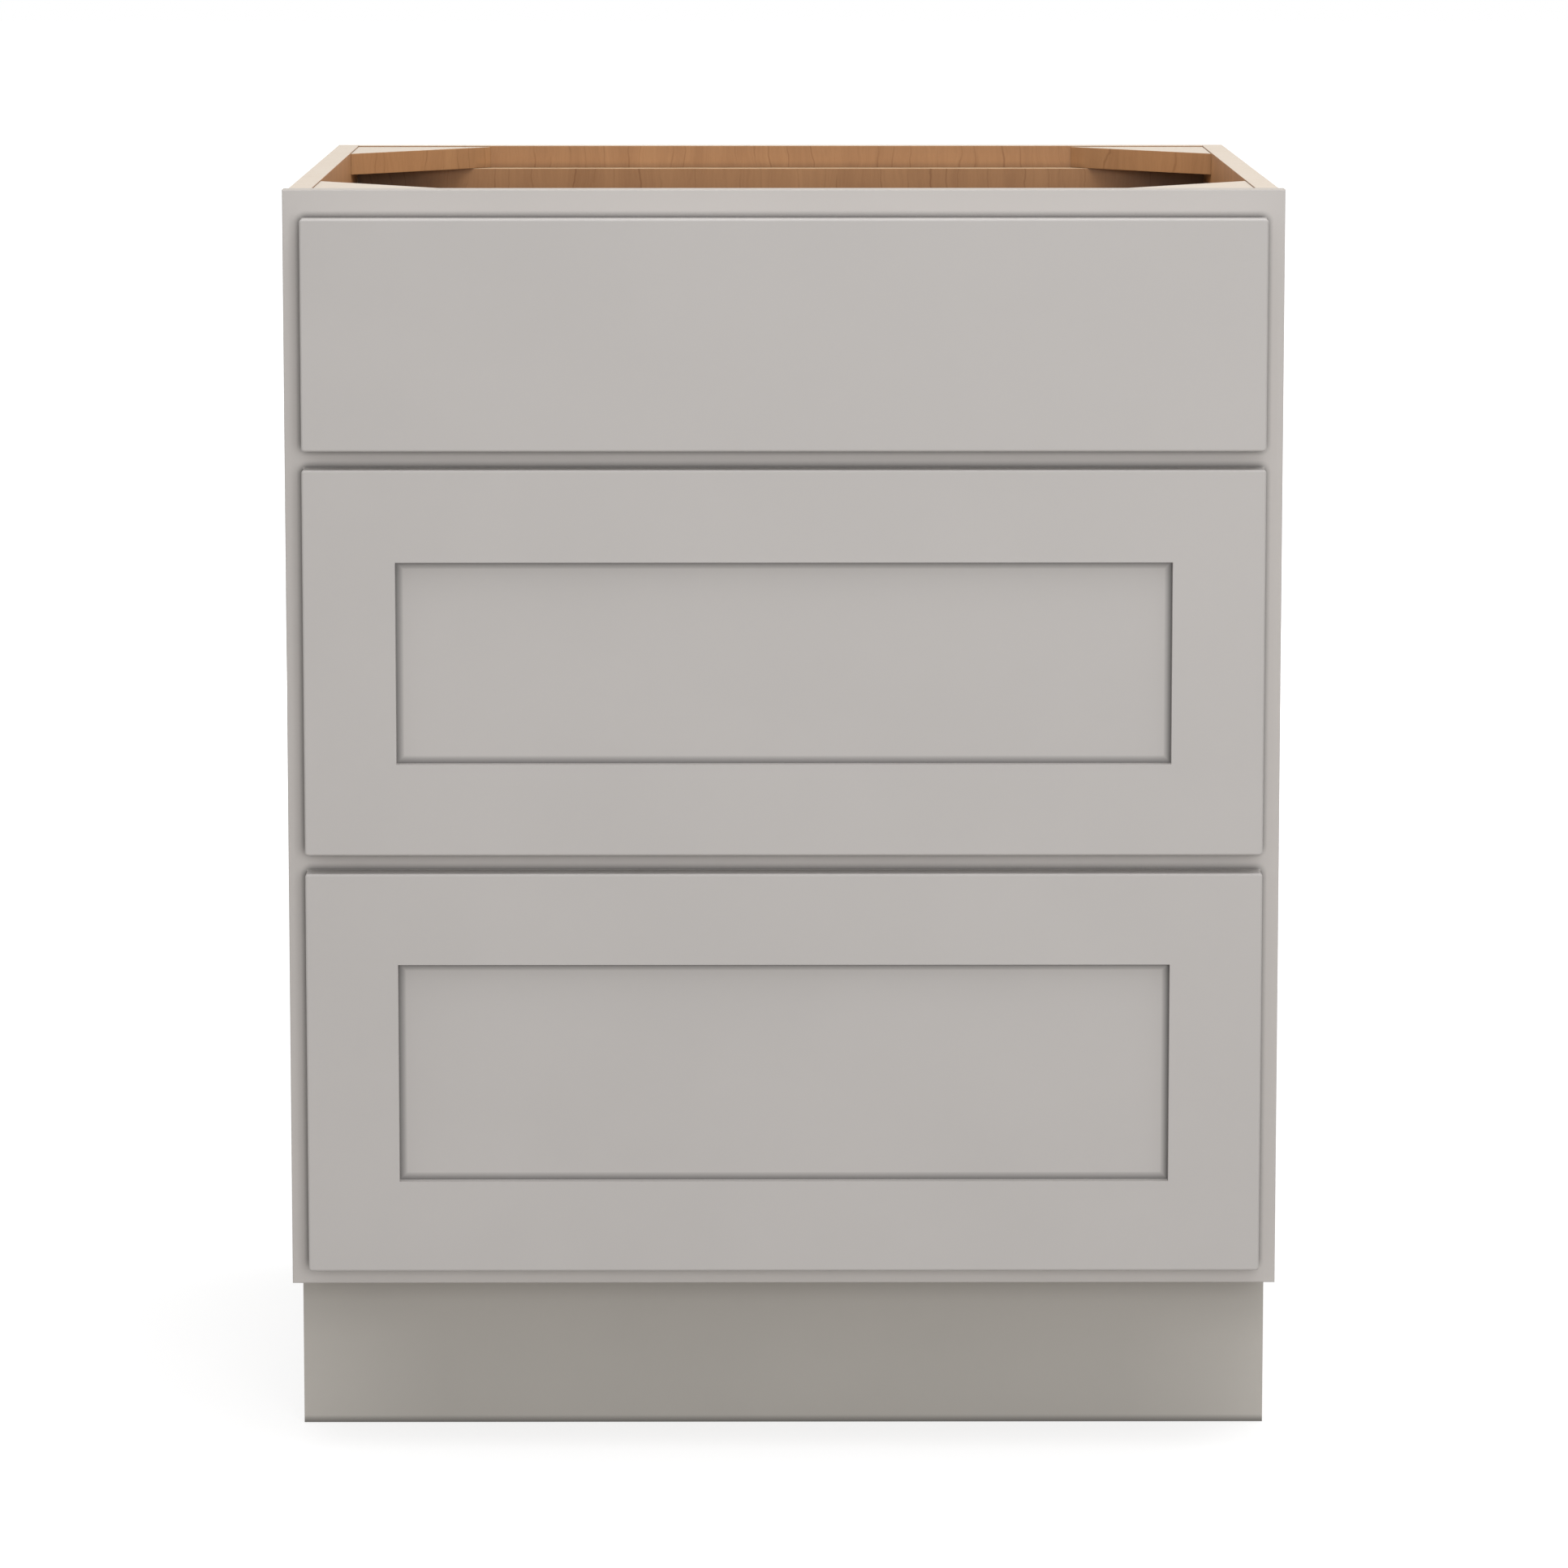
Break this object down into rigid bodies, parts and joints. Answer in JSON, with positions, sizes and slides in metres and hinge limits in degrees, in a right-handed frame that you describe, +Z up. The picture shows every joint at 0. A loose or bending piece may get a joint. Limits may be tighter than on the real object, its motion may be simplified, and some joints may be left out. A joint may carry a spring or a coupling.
{
  "type": "drawer base cabinet",
  "caption": "Floor-standing face-frame kitchen base cabinet with full-width drawers on undermount slides, painted shaker and slab fronts, recessed toe kick and an open braced top.",
  "frame": {"origin": "on the floor, under the middle of the cabinet's box", "axes": "+X to the right, +Y to the wall, +Z up; the drawers open towards -Y"},
  "size_m": [0.6858, 0.6302, 0.8763],
  "materials": {
    "painted_wood": "satin greige paint",
    "plywood": "clear-coated maple veneer plywood",
    "drawer_maple": "clear-coated maple",
    "zinc_steel": "zinc-plated rolled steel",
    "lever_plastic": "moulded nylon",
    "bumper_rubber": "soft pale pads"
  },
  "bodies": {
    "carcass": {"side_panel_left": "plywood", "side_panel_right": "plywood", "bottom_panel": "plywood", "back_panel": "plywood", "hanging_rail": "plywood", "corner_braces": "plywood", "frame_stile_left": "painted_wood", "frame_stile_right": "painted_wood", "frame_top_rail": "painted_wood", "frame_upper_mid_rail": "painted_wood", "frame_lower_mid_rail": "painted_wood", "frame_bottom_rail": "painted_wood", "toe_kick": "painted_wood", "slide_channels": "zinc_steel", "slide_rear_brackets": "zinc_steel", "drawer_bumpers": "bumper_rubber"},
    "top_drawer": {"top_box_side_left": "drawer_maple", "top_box_side_right": "drawer_maple", "top_box_front": "drawer_maple", "top_box_back": "drawer_maple", "top_box_bottom": "drawer_maple", "top_front_slab": "painted_wood", "top_slide_runners": "zinc_steel", "top_drawer_locks": "zinc_steel"},
    "top_carriages": {"top_slide_carriages": "zinc_steel"},
    "top_lever_left": {"top_lock_lever_left": "lever_plastic"},
    "top_lever_right": {"top_lock_lever_right": "lever_plastic"},
    "middle_drawer": {"middle_box_side_left": "drawer_maple", "middle_box_side_right": "drawer_maple", "middle_box_front": "drawer_maple", "middle_box_back": "drawer_maple", "middle_box_bottom": "drawer_maple", "middle_front_stile_left": "painted_wood", "middle_front_stile_right": "painted_wood", "middle_front_rail_top": "painted_wood", "middle_front_rail_bottom": "painted_wood", "middle_front_panel": "painted_wood", "middle_slide_runners": "zinc_steel", "middle_drawer_locks": "zinc_steel"},
    "middle_carriages": {"middle_slide_carriages": "zinc_steel"},
    "middle_lever_left": {"middle_lock_lever_left": "lever_plastic"},
    "middle_lever_right": {"middle_lock_lever_right": "lever_plastic"},
    "bottom_drawer": {"bottom_box_side_left": "drawer_maple", "bottom_box_side_right": "drawer_maple", "bottom_box_front": "drawer_maple", "bottom_box_back": "drawer_maple", "bottom_box_bottom": "drawer_maple", "bottom_front_stile_left": "painted_wood", "bottom_front_stile_right": "painted_wood", "bottom_front_rail_top": "painted_wood", "bottom_front_rail_bottom": "painted_wood", "bottom_front_panel": "painted_wood", "bottom_slide_runners": "zinc_steel", "bottom_drawer_locks": "zinc_steel"},
    "bottom_carriages": {"bottom_slide_carriages": "zinc_steel"},
    "bottom_lever_left": {"bottom_lock_lever_left": "lever_plastic"},
    "bottom_lever_right": {"bottom_lock_lever_right": "lever_plastic"}
  },
  "joints": [
    {"name": "top_drawer_slide", "type": "slide", "parent": "carcass", "child": "top_drawer", "axis": [0, -1, 0], "range_m": [0, 0.5207]},
    {"name": "top_carriage_slide", "type": "slide", "parent": "carcass", "child": "top_carriages", "axis": [0, -1, 0], "range_m": [0, 0.26035]},
    {"name": "top_lever_left_hinge", "type": "hinge", "parent": "top_drawer", "child": "top_lever_left", "pos_m": [-0.22978, -0.2502, 0.7349], "axis": [0, 0, -1], "range_deg": [0, 12], "stiffness_Nm_per_rad": 0.05},
    {"name": "top_lever_right_hinge", "type": "hinge", "parent": "top_drawer", "child": "top_lever_right", "pos_m": [0.22978, -0.2502, 0.7349], "axis": [0, 0, 1], "range_deg": [0, 12], "stiffness_Nm_per_rad": 0.05},
    {"name": "middle_drawer_slide", "type": "slide", "parent": "carcass", "child": "middle_drawer", "axis": [0, -1, 0], "range_m": [0, 0.5207]},
    {"name": "middle_carriage_slide", "type": "slide", "parent": "carcass", "child": "middle_carriages", "axis": [0, -1, 0], "range_m": [0, 0.26035]},
    {"name": "middle_lever_left_hinge", "type": "hinge", "parent": "middle_drawer", "child": "middle_lever_left", "pos_m": [-0.22978, -0.2502, 0.4555], "axis": [0, 0, -1], "range_deg": [0, 12], "stiffness_Nm_per_rad": 0.05},
    {"name": "middle_lever_right_hinge", "type": "hinge", "parent": "middle_drawer", "child": "middle_lever_right", "pos_m": [0.22978, -0.2502, 0.4555], "axis": [0, 0, 1], "range_deg": [0, 12], "stiffness_Nm_per_rad": 0.05},
    {"name": "bottom_drawer_slide", "type": "slide", "parent": "carcass", "child": "bottom_drawer", "axis": [0, -1, 0], "range_m": [0, 0.5207]},
    {"name": "bottom_carriage_slide", "type": "slide", "parent": "carcass", "child": "bottom_carriages", "axis": [0, -1, 0], "range_m": [0, 0.26035]},
    {"name": "bottom_lever_left_hinge", "type": "hinge", "parent": "bottom_drawer", "child": "bottom_lever_left", "pos_m": [-0.22978, -0.2502, 0.1761], "axis": [0, 0, -1], "range_deg": [0, 12], "stiffness_Nm_per_rad": 0.05},
    {"name": "bottom_lever_right_hinge", "type": "hinge", "parent": "bottom_drawer", "child": "bottom_lever_right", "pos_m": [0.22978, -0.2502, 0.1761], "axis": [0, 0, 1], "range_deg": [0, 12], "stiffness_Nm_per_rad": 0.05}
  ],
  "couplings": [
    {"joint": "top_carriage_slide", "follows": "top_drawer_slide", "ratio": 0.5},
    {"joint": "middle_carriage_slide", "follows": "middle_drawer_slide", "ratio": 0.5},
    {"joint": "bottom_carriage_slide", "follows": "bottom_drawer_slide", "ratio": 0.5}
  ]
}
